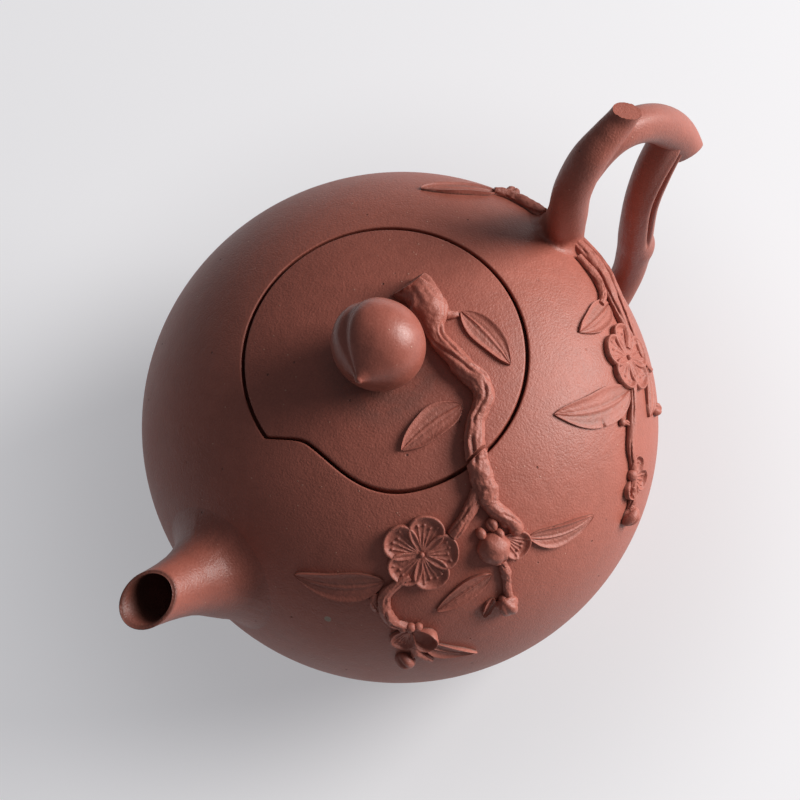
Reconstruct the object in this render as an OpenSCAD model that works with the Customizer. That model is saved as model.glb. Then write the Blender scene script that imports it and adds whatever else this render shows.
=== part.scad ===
// Round clay teapot with an inlaid notched lid, a branch handle and plum blossom appliques.
// Origin at the centre of the foot, +Z up, spout towards -X, handle towards +X. Millimetres.

/* [Body] */
// Greatest outside diameter
body_d = 110; // [90:1:134]
// Height of the widest plane above the table
belly_h = 38; // [31:0.5:46]
// Height of the dome above the widest plane, at the axis
dome_h = 44; // [36:0.5:53]
// Depth below the widest plane at which the lower ellipse would close
bowl_h = 52; // [48:0.5:64]
// Squareness of the dome's curve, 2 for an ellipse
dome_power = 2.2; // [2:0.05:2.6]
// Thickness of the clay wall
wall = 3.2; // [2.4:0.1:4]
// Thickness of the base disc
base_t = 4; // [3:0.1:5]
// Height above the widest plane at which the shoulder ring is luted on
joint_h = 32; // [26:0.5:33]
// Film of slip between two luted pieces
slip = 0.1; // [0.05:0.01:0.3]

/* [Lid] */
// Diameter of the seam round the lid
lid_d = 56.6; // [47:0.2:60]
// Width of the seam
seam_gap = 0.7; // [0.4:0.05:1]
// Thickness of the lid at the seam
rim_t = 3; // [2.2:0.1:3.8]
// How deep the notch beside the spout bites into the lid
notch_depth = 4.9; // [3:0.1:6]
// Direction of the notch's sharp corner
notch_az = 169; // [160:1:178]
// Angle that the notch takes up
notch_sweep = 70; // [50:1:84]
// Angle from the sharp corner to the deepest point of the notch
notch_peak = 17; // [12:1:24]
// Width of the seat left beside the deepest point of the notch
seat_w = 1.9; // [1.2:0.1:3]
// Radial clearance between the lid's flange and the mouth
neck_gap = 0.4; // [0.3:0.05:0.8]
// Thickness of the ledge that carries the lid
ledge_t = 2.8; // [2:0.1:4]
// Thickness of the lid's flange
flange_t = 2.6; // [2:0.1:3.4]
// How far the flange reaches down from the seat
flange_depth = 9; // [6:0.5:13]
// Diameter of the vent hole through the lid
vent_d = 2.4; // [1.5:0.1:3]
// Direction from the knob in which the vent hole lies, beside the knob's edge
vent_az = 57; // [50:1:64]

/* [Knob] */
// Diameter of the peach knob
knob_d = 18.4; // [15:0.2:22]
// Direction in which the peach's tip points
knob_az = 206; // [150:1:230]
// How far the peach's tip is lifted above the level
knob_tilt = 8; // [0:1:30]
// How deep the peach is pressed towards the lid
knob_sink = 1.7; // [0.8:0.1:2.4]
// How far the peach sits off the lid's middle, towards the spout
knob_x = -1.6; // [-3:0.1:1]
// How far the peach sits off the lid's middle, towards the blossoms
knob_y = -1.5; // [-3:0.1:1]

/* [Spout] */
// How far the middle of the mouth stands out beyond the widest diameter
spout_out = 11.7; // [9:0.1:16]
// Height of the middle of the mouth above the widest plane
spout_h = 34; // [30:0.5:38]
// Slope of the spout's axis above the level
spout_el = 47; // [42:1:54]
// Slope of the mouth's own normal above the level
mouth_el = 80; // [66:1:88]
// Diameter of the bore at the mouth
mouth_bore = 8.8; // [8.4:0.1:10]
// Thickness of the spout at its lip
lip_t = 1.1; // [0.9:0.1:1.6]
// Diameter of the strainer's holes
strainer_d = 3; // [2:0.1:3.4]
// Distance between neighbouring strainer holes
strainer_pitch = 4.6; // [4.2:0.1:5]

/* [Handle] */
// Direction of the handle's plane
handle_az = -7; // [-12:1:0]
// How far the elbow of the outer branch stands out beyond the widest diameter
handle_out = 26; // [24:0.5:32]
// Height of the cut stub above the widest plane
stub_h = 65.5; // [60:0.5:74]
// Radius of the handle's branches at mid length
branch_r = 3.5; // [2.9:0.1:4.2]

/* [Ornament] */
// Height of a leaf above the clay that it lies on
leaf_t = 1; // [0.7:0.1:1.6]
// Height of a blossom above the clay that it lies on
petal_t = 1.7; // [1.2:0.1:2.4]
// Radius of the bough where it leaves the lid
bough_r = 2.1; // [1.6:0.1:2.6]
// Radius of the thin twigs
twig_r = 1.1; // [0.8:0.1:1.5]

/* [Hidden] */

body_r = body_d / 2;
lid_r = lid_d / 2;
clay = [0.55, 0.29, 0.24];
pale_clay = [0.62, 0.35, 0.29];

// Radius and height of the outer skin, at a height or a radius, grown outwards by grow
function dome_r(z, grow = 0) =
    (body_r + grow) * pow(1 - pow(z / (dome_h + grow), dome_power), 1 / dome_power);
function dome_z(r, grow = 0) =
    (dome_h + grow) * pow(1 - pow(r / (body_r + grow), dome_power), 1 / dome_power);
function bowl_r(z, grow = 0) = (body_r + grow) * sqrt(1 - pow(z / (bowl_h + grow), 2));

// A point of the skin's outline [r, z], from its latitude: 0 at the belly, 90 at the top
function skin_rz(lat, grow = 0) = lat >= 0
    ? [(body_r + grow) * pow(cos(lat), 2 / dome_power),
       (dome_h + grow) * pow(sin(lat), 2 / dome_power)]
    : [(body_r + grow) * cos(lat), (bowl_h + grow) * sin(lat)];

// The slope of the skin's normal above the level, at the same latitude
function skin_slope(lat) = let (p = skin_rz(lat)) lat >= 0
    ? atan2(pow(p.y / dome_h, dome_power - 1) / dome_h,
            pow(p.x / body_r, dome_power - 1) / body_r)
    : atan2(p.y / pow(bowl_h, 2), p.x / pow(body_r, 2));

// A point h above the skin, in the pot's frame
function on_skin(az, lat, h = 0) = let (p = skin_rz(lat), e = skin_slope(lat))
    [(p.x + h * cos(e)) * cos(az), (p.x + h * cos(e)) * sin(az), belly_h + p.y + h * sin(e)];
function normal_at(az, lat) = let (e = skin_slope(lat)) [cos(e) * cos(az), cos(e) * sin(az), sin(e)];

// A point h above the top of the lid, over the plan position x, y
function on_top(x, y, h = 0) = [x, y, belly_h + dome_z(norm([x, y])) + h];

function unit(v) = v / norm(v);
function xyz(p) = [p[0], p[1], p[2]];

// A smooth path through points that carry x, y, z and a radius
function curve(a, b, c, d, t) =
    (2 * b + (c - a) * t + (2 * a - 5 * b + 4 * c - d) * t * t + (3 * b - a - 3 * c + d) * t * t * t) / 2;
function smooth_path(p, steps = 3) = let (last = len(p) - 1) [
    for (i = [0:last - 1], k = [0:steps - 1])
        curve(p[max(i - 1, 0)], p[i], p[i + 1], p[min(i + 2, last)], k / steps),
    p[last]
];

// The skin's outline has a corner every skin_step degrees, and a flat top under the knob from top_lat
skin_step = 5;
top_lat = 85;
base_low = -belly_h;
base_top = base_t - belly_h;
seat_z = dome_z(lid_r) - rim_t;
flange_r = lid_r - notch_depth - seat_w - neck_gap;
mouth_r = flange_r + neck_gap;

// The whole pot as one lump, grown by grow, and cut off flat at height low
module lump(grow = 0, low = base_low) {
    translate([0, 0, belly_h])
        rotate_extrude($fn = 96)
            polygon(concat(
                [[0, skin_rz(top_lat, grow).y]],
                [for (lat = [top_lat:-skin_step:0]) skin_rz(lat, grow)],
                [for (k = [1:8]) let (z = low * k / 8) [bowl_r(z, grow), z]],
                [[0, low]]
            ));
}

// A layer of clay lying on the skin, from h0 to h1 above it, down to 30 degrees below the belly
module layer(h0, h1) {
    translate([0, 0, belly_h])
        rotate_extrude($fn = 96)
            polygon(concat(
                [for (lat = [top_lat:-skin_step:-30]) skin_rz(lat, h1)],
                [for (lat = [-30:skin_step:top_lat]) skin_rz(lat, h0)]
            ));
}

// A branch: one ring of clay after another along the path, oval by flat
module limb(path, ups, sides = 12, flat = 1) {
    n = len(path);
    dirs = [for (i = [0:n - 1]) unit(xyz(path[min(i + 1, n - 1)]) - xyz(path[max(i - 1, 0)]))];
    points = [
        for (i = [0:n - 1])
            let (side = unit(cross(dirs[i], ups[i])), up = cross(side, dirs[i]))
            for (k = [0:sides - 1])
                xyz(path[i]) + path[i][3] * (cos(360 * k / sides) * side
                    + flat * sin(360 * k / sides) * up)
    ];
    skin = [
        for (i = [0:n - 2], k = [0:sides - 1])
            let (a = i * sides + k, b = i * sides + (k + 1) % sides)
            each [[a, b, a + sides], [b, b + sides, a + sides]]
    ];
    polyhedron(points, concat(
        skin,
        [[for (k = [sides - 1:-1:0]) k], [for (k = [0:sides - 1]) (n - 1) * sides + k]]
    ));
}

// A twig that lies on the skin: marks are [azimuth, latitude, radius]
module twig(marks, sunk = 0.45) {
    path = smooth_path([for (m = marks) concat(on_skin(m[0], m[1], m[2] * (1 - sunk)), m[2])], 2);
    ups = [for (p = path) unit(xyz(p) - [0, 0, belly_h])];
    difference() {
        limb(path, ups, 10);
        lump(slip);
    }
}

// Puts its children on the skin: Z along the normal, X down the slope, Y round to the left
module place(az, lat) {
    translate(on_skin(az, lat)) rotate([0, 90 - skin_slope(lat), az]) children();
}

// The outline of a leaf, a lens of two arcs along X
module leaf_outline(length, width) {
    arc_r = (pow(length, 2) + pow(width, 2)) / (4 * width);
    intersection() {
        translate([0, arc_r - width / 2]) circle(r = arc_r, $fn = 120);
        translate([0, width / 2 - arc_r]) circle(r = arc_r, $fn = 120);
    }
}

// A leaf on the skin from its stalk [azimuth, latitude] to its tip
module leaf(stalk, tip, width, thick = leaf_t) {
    a = on_skin(stalk[0], stalk[1]);
    b = on_skin(tip[0], tip[1]);
    mid = (stalk + tip) / 2;
    slope = skin_slope(mid[1]);
    down = [sin(slope) * cos(mid[0]), sin(slope) * sin(mid[0]), -cos(slope)];
    round_to = [-sin(mid[0]), cos(mid[0]), 0];
    turn = atan2((b - a) * round_to, (b - a) * down);
    intersection() {
        layer(slip, slip + thick);
        place(mid[0], mid[1]) rotate([0, 0, turn])
            translate([0, 0, -4]) linear_extrude(10) leaf_outline(norm(b - a), width);
    }
}

// Five round petals and the disc that joins them
module blossom_outline(d, petals = 5) {
    petal = d * 0.21;
    for (k = [0:petals - 1])
        rotate(72 * k) translate([d / 2 - petal, 0]) circle(r = petal, $fn = 48);
    circle(r = d * 0.24, $fn = 48);
}

module blossom(az, lat, d, turn = 0, thick = petal_t, petals = 5) {
    intersection() {
        layer(slip, slip + thick);
        place(az, lat) rotate([0, 0, turn])
            translate([0, 0, -4]) linear_extrude(10) blossom_outline(d, petals);
    }
}

// A round bud or bead, flattened where it is pressed on the skin
module bead(az, lat, r) {
    place(az, lat) intersection() {
        translate([0, 0, r * 0.55]) sphere(r = r, $fn = 48);
        translate([0, 0, 1.5 * slip]) cylinder(r = 2 * r, h = 2 * r, $fn = 48);
    }
}

// ---- the pot's own shell ----

// Flat clay disc that closes the bottom and stands on the table
module base_disc() {
    color(clay) difference() {
        lump();
        translate([0, 0, base_t]) cylinder(r = body_d, h = body_d * 2, $fn = 96);
    }
}

// One hole in the middle and a ring of six round it, bored along the spout's axis
module strainer_holes() {
    spout_frame() {
        translate([0, 0, -38]) cylinder(d = strainer_d, h = 26, $fn = 24);
        for (k = [0:5])
            rotate([0, 0, 60 * k]) translate([strainer_pitch, 0, -38])
                cylinder(d = strainer_d, h = 26, $fn = 24);
    }
}

// Beaten wall, from the base disc up to the shoulder ring, drilled behind the spout
module body_wall() {
    steps = 14;
    low_in = bowl_r(base_top, -wall);
    color(clay) difference() {
        translate([0, 0, belly_h])
            rotate_extrude($fn = 96)
                polygon(concat(
                    [for (k = [0:steps]) let (z = base_top * (1 - k / steps)) [bowl_r(z), z]],
                    [for (k = [1:steps]) let (z = joint_h * k / steps) [dome_r(z), z]],
                    [for (k = [steps:-1:1]) let (z = joint_h * k / steps) [dome_r(z, -wall), z]],
                    [for (k = [steps:-1:1]) let (z = base_top * (1 - k / steps)) [bowl_r(z, -wall), z]],
                    [[low_in, base_top]]
                ));
        strainer_holes();
    }
}

// The seam's outline in plan: a circle with a bite beside the spout. The bite's curve starts and
// ends a little outside the circle, so that it crosses it cleanly.
bite_start = 0.15;
function bite(a) = a < notch_peak
    ? sin(90 * a / notch_peak)
    : pow(cos(90 * (a - notch_peak) / (notch_sweep - notch_peak)), 2.6);

module seam_outline(grow) {
    rotate(notch_az) difference() {
        circle(r = lid_r + grow, $fn = 120);
        polygon(concat(
            [for (k = [0:24]) let (a = notch_sweep * k / 24)
                (lid_r + grow + bite_start - (notch_depth + bite_start) * bite(a)) * [cos(a), sin(a)]],
            [for (a = [notch_sweep:-notch_sweep / 4:0]) lid_r * 1.4 * [cos(a), sin(a)]]
        ));
    }
}

// Cover slab luted on the wall, with the mouth cut along the seam
module shoulder_ring() {
    steps = 10;
    low_r = min(lid_r - notch_depth, mouth_r + seat_w / 2);
    flat_r = dome_r(seat_z, -wall);
    color(clay) difference() {
        translate([0, 0, belly_h])
            rotate_extrude($fn = 96)
                polygon(concat(
                    [for (k = [0:steps])
                        let (r = dome_r(joint_h) + (low_r - dome_r(joint_h)) * k / steps) [r, dome_z(r)]],
                    [[low_r, seat_z]],
                    [for (k = [0:steps])
                        let (z = seat_z + (joint_h - seat_z) * k / steps) [dome_r(z, -wall), z]]
                ));
        translate([0, 0, belly_h + joint_h - 1]) linear_extrude(dome_h) seam_outline(seam_gap / 2);
    }
}

// Ring luted under the shoulder; its top is the seat that the lid rests on
module mouth_ledge() {
    steps = 6;
    under = seat_z - ledge_t;
    color(clay) translate([0, 0, belly_h])
        rotate_extrude($fn = 96)
            polygon(concat(
                [[mouth_r, under], [mouth_r, seat_z]],
                [for (k = [0:steps]) let (z = seat_z - ledge_t * k / steps) [dome_r(z, -wall - slip), z]]
            ));
}

// ---- spout ----

// The middle of the mouth is at the origin of this frame, and the spout runs along -Z
module spout_frame() {
    translate([-body_r - spout_out, 0, belly_h + spout_h]) rotate([0, spout_el - 90, 0]) children();
}

// Distances from the lip along the axis, and how much wider the spout has become there
spout_flare = [[-6, 0], [4, 0.2], [10, 0.9], [15, 2.1], [19, 3.6], [23, 5.2], [36, 6.4]];

// Short spout, luted over the strainer, its mouth cut nearly level
module spout() {
    lip_r = mouth_bore / 2 + lip_t;
    color(clay) difference() {
        spout_frame() rotate_extrude($fn = 64)
            polygon(concat([[0, 6]], [for (p = spout_flare) [lip_r + p[1], -p[0]]], [[0, -36]]));
        spout_frame() rotate_extrude($fn = 64)
            polygon(concat([[0, 7]], [for (p = spout_flare) [mouth_bore / 2 + p[1] * 0.55, -p[0] * 1.03]],
                [[0, -38]]));
        translate([-body_r - spout_out, 0, belly_h + spout_h]) rotate([0, mouth_el - 90, 0])
            translate([-20, -20, 0]) cube(40);
        lump(slip);
    }
}

// ---- handle, all in one upright plane ----

// Marks are [distance beyond the widest diameter, height above the widest plane, radius]
upper_marks = [[-14, 14, 7.4], [-9, 25, 6.4], [-8, 37, 4.4], [-6.5, 50, branch_r + 0.3],
    [-2.5, stub_h - 6.5, branch_r + 0.3], [3, stub_h - 1.6, branch_r + 0.1], [7.4, stub_h, branch_r - 0.3]];
outer_marks = [[4.8, stub_h - 4.2, branch_r - 0.7], [10, stub_h - 9, branch_r - 0.2],
    [15.4, stub_h - 17, branch_r], [handle_out - 5, stub_h - 28, branch_r + 0.4],
    [handle_out, stub_h - 37.5, branch_r - 0.8]];
lower_marks = [[handle_out - 9.4, stub_h - 25.8, branch_r - 0.8], [13.6, 31, branch_r], [12, 20, branch_r],
    [11, 6, branch_r + 0.4], [10.5, -4, branch_r + 0.3], [8.5, -14, branch_r], [3, -23, branch_r + 0.8],
    [-5, -27.5, branch_r + 1.8], [-18, -29, branch_r + 1.6]];

function handle_point(m) = let (r = body_r + m[0])
    [r * cos(handle_az), r * sin(handle_az), belly_h + m[1], m[2]];

module handle_limb(marks) {
    path = smooth_path([for (m = marks) handle_point(m)]);
    across = [-sin(handle_az), cos(handle_az), 0];
    limb(path, [for (p = path) across], 16);
}

module handle_upper_branch() {
    color(clay) difference() {
        handle_limb(upper_marks);
        lump(slip);
    }
}

// Pressed into the underside of the upper branch, below its stub
module handle_outer_branch() {
    color(clay) handle_limb(outer_marks);
}

// Pressed into the underside of the outer branch, and luted on the wall
module handle_lower_branch() {
    color(clay) difference() {
        handle_limb(lower_marks);
        lump(slip);
    }
}

// ---- lid ----

module lid_plate() {
    vent_out = knob_d / 2 + vent_d / 3;
    vent = [knob_x, knob_y] + vent_out * [cos(vent_az), sin(vent_az)];
    color(pale_clay) difference() {
        intersection() {
            lump();
            translate([0, 0, belly_h + seat_z]) linear_extrude(dome_h) seam_outline(-seam_gap / 2);
        }
        intersection() {
            lump(-wall);
            translate([0, 0, belly_h]) cylinder(r = flange_r - flange_t, h = dome_h, $fn = 96);
        }
        translate([vent.x, vent.y, belly_h + seat_z]) cylinder(d = vent_d, h = dome_h, $fn = 24);
    }
}

// Ring under the lid that keeps it in the mouth
module lid_flange() {
    color(pale_clay) translate([0, 0, belly_h + seat_z - flange_depth]) difference() {
        cylinder(r = flange_r, h = flange_depth, $fn = 96);
        translate([0, 0, -1]) cylinder(r = flange_r - flange_t, h = flange_depth + 2, $fn = 96);
    }
}

// Peach lying on its side: its profile along the axis, as shares of its radius
peach = [[-0.9, 0], [-0.84, 0.36], [-0.66, 0.68], [-0.36, 0.91], [0, 1], [0.34, 0.93], [0.62, 0.74],
    [0.85, 0.45], [1.0, 0.2], [1.16, 0]];

module peach_knob() {
    r = knob_d / 2;
    color(pale_clay) difference() {
        translate([knob_x, knob_y, belly_h + dome_h + r - knob_sink]) rotate([0, 0, knob_az])
            rotate([0, 90 - knob_tilt, 0])
                rotate_extrude($fn = 64) polygon([for (p = peach) [r * p[1], r * p[0]]]);
        lump(slip);
    }
}

// Marks on the lid are [x, y, radius] in plan; the branch runs on over the seam as the bough
lid_branch_marks = [[12.8, 5.6, 3.3], [13.6, -0.4, 3.2], [12.2, -5.2, 2.7], [9.6, -9.6, 2.3],
    [9.4, -15, bough_r], [9, -20.6, bough_r + 0.2], [5.8, -23.6, bough_r], [2.6, -25.6, bough_r],
    [-0.6, -27.6, bough_r], [-3.6, -29.4, bough_r], [-5.6, -32.6, bough_r + 0.2],
    [-6.4, -35.4, bough_r]];

module whole_bough() {
    path = smooth_path([for (m = lid_branch_marks) concat(on_top(m[0], m[1], m[2] * 0.7), m[2])], 2);
    difference() {
        limb(path, [for (p = path) unit(xyz(p) - [0, 0, belly_h])], 12);
        lump(slip);
    }
}

module lid_branch() {
    color(pale_clay) intersection() {
        whole_bough();
        translate([0, 0, belly_h]) linear_extrude(dome_h * 2) seam_outline(-seam_gap / 2);
    }
}

module bough() {
    color(clay) difference() {
        whole_bough();
        translate([0, 0, belly_h]) linear_extrude(dome_h * 2) seam_outline(seam_gap / 2);
    }
}

module lid_leaf_right() { color(pale_clay) leaf([343, 73.5], [308.2, 65.4], 6); }
module lid_leaf_left() { color(pale_clay) leaf([277, 71.5], [236, 70.2], 6.4); }

// ---- branch, leaves and blossoms on the front ----

module bough_left_fork() {
    color(clay) twig([[258.6, 53, 1.7], [253, 51.6, 1.8], [248, 50.2, 1.7], [243.6, 48.4, 1.4]]);
}
module bough_right_fork() {
    color(clay) twig([[260.4, 51.6, 1.9], [261, 48.6, 1.8], [261, 46, 1.6], [259.8, 43.6, 1.4]]);
}
module blossom_front() { color(clay) blossom(234.2, 46, 14.6, 20); }
module leaf_towards_spout() { color(clay) leaf([223.2, 40.2], [200.4, 37.4], 5.4); }
module twig_low() {
    color(clay) twig([[226, 37.6, twig_r], [223.6, 35, twig_r + 0.2], [223.8, 31.6, twig_r + 0.2],
        [225.6, 28, twig_r]]);
}
module blossom_low() { color(clay) blossom(228.2, 23.6, 9.6, 50); }
module leaf_low() { color(clay) leaf([232, 17.4], [241.4, 9.4], 4.4); }
module bud_low() { color(clay) bead(226.6, 14.4, 1.9); }
module blossom_cupped() { color(clay) blossom(255, 40, 11, 70, petal_t + 0.8); }
module calyx_beads() {
    color(clay) {
        bead(252.6, 46.6, 1.3);
        bead(256.2, 48.4, 1.3);
        bead(263, 44.8, 1.3);
    }
}
module leaf_right_of_cup() { color(clay) leaf([263.8, 37.6], [279.2, 28], 4.8); }
module leaf_left_of_cup() { color(clay) leaf([249.6, 34.4], [236, 30.2], 4.8); }
module bud_stalk() {
    color(clay) {
        twig([[254, 33.4, twig_r], [253.6, 31.2, twig_r], [252.8, 29, twig_r], [252, 27.2, twig_r]]);
        bead(251.2, 24, 2.1);
    }
}
module bud_leaf() { color(clay) leaf([248.6, 27.6], [245.6, 23.6], 2.6); }

// ---- branch, leaves and blossoms beside the handle ----

module handle_root_twig() {
    color(clay) twig([[346, 30.4, 1.5], [341, 31, 1.5], [335.6, 31.8, 1.3], [329.6, 32.2, twig_r],
        [325.6, 32.6, twig_r]]);
}
module leaf_below_handle() { color(clay) leaf([333.4, 35.4], [324.8, 46.4], 5); }
module blossom_handle_side() { color(clay) blossom(318.4, 30, 12.4, 40); }
module leaf_large() { color(clay) leaf([310.6, 32.6], [295.6, 51.2], 6.8); }
module leaf_at_belly() { color(clay) leaf([321.6, 18.6], [309.6, 16.6], 4.4); }
module twig_hanging() {
    color(clay) twig([[310.6, 28.6, twig_r], [304.6, 28.2, twig_r + 0.2], [298.6, 26.6, twig_r + 0.1],
        [296.8, 24.8, twig_r]]);
}
module blossom_half() { color(clay) blossom(293.8, 20.4, 9.4, 10, petal_t, 5); }
module bud_hanging() { color(clay) bead(287, 14, 2); }

// ---- spray behind the handle ----

module back_twig() {
    color(clay) twig([[8, 29.6, 1.4], [12, 29.4, 1.3], [15, 30, twig_r], [17.2, 31.6, twig_r]]);
}
module back_leaf() { color(clay) leaf([18.6, 33], [34.6, 43.4], 5.4); }
module back_bud() { color(clay) bead(13.4, 25.4, 1.7); }

base_disc();
body_wall();
shoulder_ring();
mouth_ledge();
spout();
handle_upper_branch();
handle_outer_branch();
handle_lower_branch();
lid_plate();
lid_flange();
peach_knob();
lid_branch();
lid_leaf_right();
lid_leaf_left();
bough();
bough_left_fork();
bough_right_fork();
blossom_front();
leaf_towards_spout();
twig_low();
blossom_low();
leaf_low();
bud_low();
blossom_cupped();
calyx_beads();
leaf_right_of_cup();
leaf_left_of_cup();
bud_stalk();
bud_leaf();
handle_root_twig();
leaf_below_handle();
blossom_handle_side();
leaf_large();
leaf_at_belly();
twig_hanging();
blossom_half();
bud_hanging();
back_twig();
back_leaf();
back_bud();
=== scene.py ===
import math
import bmesh
import bpy
from mathutils import Matrix, Vector, noise


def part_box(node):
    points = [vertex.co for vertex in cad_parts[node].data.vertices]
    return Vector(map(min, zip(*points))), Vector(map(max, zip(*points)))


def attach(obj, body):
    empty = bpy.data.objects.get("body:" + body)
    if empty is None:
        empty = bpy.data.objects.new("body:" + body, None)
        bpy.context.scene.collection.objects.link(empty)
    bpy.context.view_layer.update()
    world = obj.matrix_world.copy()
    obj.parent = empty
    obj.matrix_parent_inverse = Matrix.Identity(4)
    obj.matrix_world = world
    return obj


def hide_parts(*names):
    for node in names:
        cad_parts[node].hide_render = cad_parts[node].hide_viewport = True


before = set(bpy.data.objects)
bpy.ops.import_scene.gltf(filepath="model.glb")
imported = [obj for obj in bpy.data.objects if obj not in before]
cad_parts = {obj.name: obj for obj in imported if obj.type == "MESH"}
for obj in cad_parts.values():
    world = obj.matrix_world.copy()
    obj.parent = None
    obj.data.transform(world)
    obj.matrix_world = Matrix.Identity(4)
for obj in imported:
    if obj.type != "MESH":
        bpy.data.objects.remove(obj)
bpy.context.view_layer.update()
bpy.ops.object.select_all(action="DESELECT")

# ---------------------------------------------------------------------------------------------
# The table and the light. The pot stands on a plain pale table under one large soft lamp high on
# the handle's side, with a weak pale room round it, and is looked at steeply from the spout's side.

mm = 0.001
belly_h = 38 * mm
view_az, view_el = -33.1, 69.4
view_roll, view_tilt = -13.08, 0.618
view_distance = 0.5
lamp_distance = 0.95
# Distances from the pot over which the table's painted light rises to full
painted_light_near, painted_light_far = 55 * mm, 110 * mm


def about(axis, degrees):
    return Matrix.Rotation(math.radians(degrees), 4, axis)


facing = about("Z", view_az) @ about("X", 90 - view_el)
camera_data = bpy.data.cameras.new("camera")
camera_data.sensor_width = 36
camera_data.lens = 105.08
camera_data.clip_start = 0.01
camera = bpy.data.objects.new("camera", camera_data)
camera.matrix_world = (
    Matrix.Translation(Vector((0, 0, belly_h)) + facing.to_3x3() @ Vector((0, 0, view_distance)))
    @ facing @ about("Z", view_roll) @ about("X", view_tilt)
)
bpy.context.collection.objects.link(camera)
bpy.context.scene.camera = camera

to_world = camera.matrix_world.to_3x3()
lamp_data = bpy.data.lights.new("soft_lamp", "AREA")
lamp_data.shape = "DISK"
lamp_data.size = 0.6
lamp_data.energy = 14
lamp_data.color = (1, 0.965, 0.94)
lamp = bpy.data.objects.new("soft_lamp", lamp_data)
lamp_way = (to_world @ Vector((0.84, 0.39, 0.4))).normalized()
lamp_turn = lamp_way.to_track_quat("Z", "Y").to_matrix().to_4x4()
lamp.matrix_world = Matrix.Translation(lamp_way * lamp_distance) @ lamp_turn
bpy.context.collection.objects.link(lamp)

world = bpy.data.worlds.new("pale_room")
world.use_nodes = True
world.node_tree.nodes["Background"].inputs["Color"].default_value = (0.93, 0.95, 1, 1)
world.node_tree.nodes["Background"].inputs["Strength"].default_value = 0.16
bpy.context.scene.world = world
bpy.context.scene.view_settings.view_transform = "Standard"


class Wire:
    """A socket of a material's nodes. Arithmetic on it adds Math nodes."""

    # Places of the colour sockets on a Mix node, whose names are shared by its other kinds
    mix_factor, mix_first, mix_second, mix_result = 0, 6, 7, 2

    def __init__(self, tree, socket):
        self.tree, self.socket = tree, socket

    def node(self, kind, settings=None, sockets=None, output=0):
        made = self.tree.nodes.new(kind)
        for name, value in (settings or {}).items():
            setattr(made, name, value)
        for name, value in (sockets or {}).items():
            if isinstance(value, Wire):
                self.tree.links.new(value.socket, made.inputs[name])
            else:
                made.inputs[name].default_value = value
        return Wire(self.tree, made.outputs[output])

    def maths(self, operation, *values):
        return self.node("ShaderNodeMath", {"operation": operation}, dict(enumerate(values)))

    def __add__(self, other):
        return self.maths("ADD", self, other)

    def __radd__(self, other):
        return self.maths("ADD", other, self)

    def __sub__(self, other):
        return self.maths("SUBTRACT", self, other)

    def __rsub__(self, other):
        return self.maths("SUBTRACT", other, self)

    def __mul__(self, other):
        return self.maths("MULTIPLY", self, other)

    def __rmul__(self, other):
        return self.maths("MULTIPLY", other, self)

    def __truediv__(self, other):
        return self.maths("DIVIDE", self, other)

    def __pow__(self, other):
        return self.maths("POWER", self, other)

    def ramp(self, low, high):
        """0 at low, 1 at high, smooth between."""
        return self.node(
            "ShaderNodeMapRange",
            {"interpolation_type": "SMOOTHSTEP"},
            {"Value": self, "From Min": low, "From Max": high},
        )

    def mix(self, first, second):
        """Colour first where this is 0, second where it is 1."""
        return self.node(
            "ShaderNodeMix",
            {"data_type": "RGBA"},
            {self.mix_factor: self, self.mix_first: first, self.mix_second: second},
            output=self.mix_result,
        )

    def speckle(self, size, share):
        """Small round dots, one to a cell of the given size, in a share of the cells."""
        cells = {"Vector": self, "Scale": 1 / size, "Randomness": 1.0}
        near = self.node("ShaderNodeTexVoronoi", {}, cells, output="Distance")
        which = self.node("ShaderNodeTexVoronoi", {}, cells, output="Color")
        lucky = which.node("ShaderNodeSeparateColor", {}, {"Color": which}, output="Red")
        return near.ramp(0.2, 0.09) * lucky.ramp(1 - share, 1 - share + 0.02)

    def cloud(self, size, detail=2.0, roughness=0.55):
        return self.node(
            "ShaderNodeTexNoise",
            {},
            {"Vector": self, "Scale": 1 / size, "Detail": detail, "Roughness": roughness},
        )


def new_material(name):
    material = bpy.data.materials.new(name)
    material.use_nodes = True
    shader = material.node_tree.nodes["Principled BSDF"]
    where = material.node_tree.nodes.new("ShaderNodeTexCoord")
    return material, shader, Wire(material.node_tree, where.outputs["Object"])


bpy.ops.mesh.primitive_plane_add(size=6)
table = bpy.context.object
table.name = "table"
table_paint, shader, where = new_material("table_paint")
shader.inputs["Roughness"].default_value = 0.9
shader.inputs["Specular IOR Level"].default_value = 0.1
shader.inputs["Emission Strength"].default_value = 0.36
seen = where.node("ShaderNodeLightPath", output="Is Camera Ray")
seen = seen.maths("MAXIMUM", seen, where.node("ShaderNodeLightPath", output="Is Glossy Ray"))
tint = where.cloud(0.6, 1.0).ramp(0.3, 0.7).mix((0.46, 0.465, 0.475, 1), (0.49, 0.495, 0.505, 1))
table_paint.node_tree.links.new(tint.socket, shader.inputs["Base Color"])
# Painted light: the table glows more away from the pot, lightening the outer part of the pot's shadow
away = where.node("ShaderNodeVectorMath", {"operation": "LENGTH"}, {0: where}, output="Value")
painted_light_ramp = away.ramp(painted_light_near, painted_light_far).mix((0.93, 0.925, 0.96, 1), (1.25, 1.24, 1.28, 1))
table_paint.node_tree.links.new(painted_light_ramp.socket, shader.inputs["Emission Color"])
plain = where.node("ShaderNodeBsdfDiffuse", {}, {"Color": (0.35, 0.35, 0.345, 1)})
both = seen.node("ShaderNodeMixShader", {}, {0: seen, 1: plain})
table_paint.node_tree.links.new(shader.outputs[0], both.socket.node.inputs[2])
table_paint.node_tree.links.new(both.socket, table_paint.node_tree.nodes["Material Output"].inputs[0])
table.data.materials.append(table_paint)

# ---------------------------------------------------------------------------------------------
# The pot's shell: purple-red stoneware, beaten into a wall, closed by a luted shoulder and base
# and smoothed with a horn until no join shows. The mouth is cut along the lid's notched outline.

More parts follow.
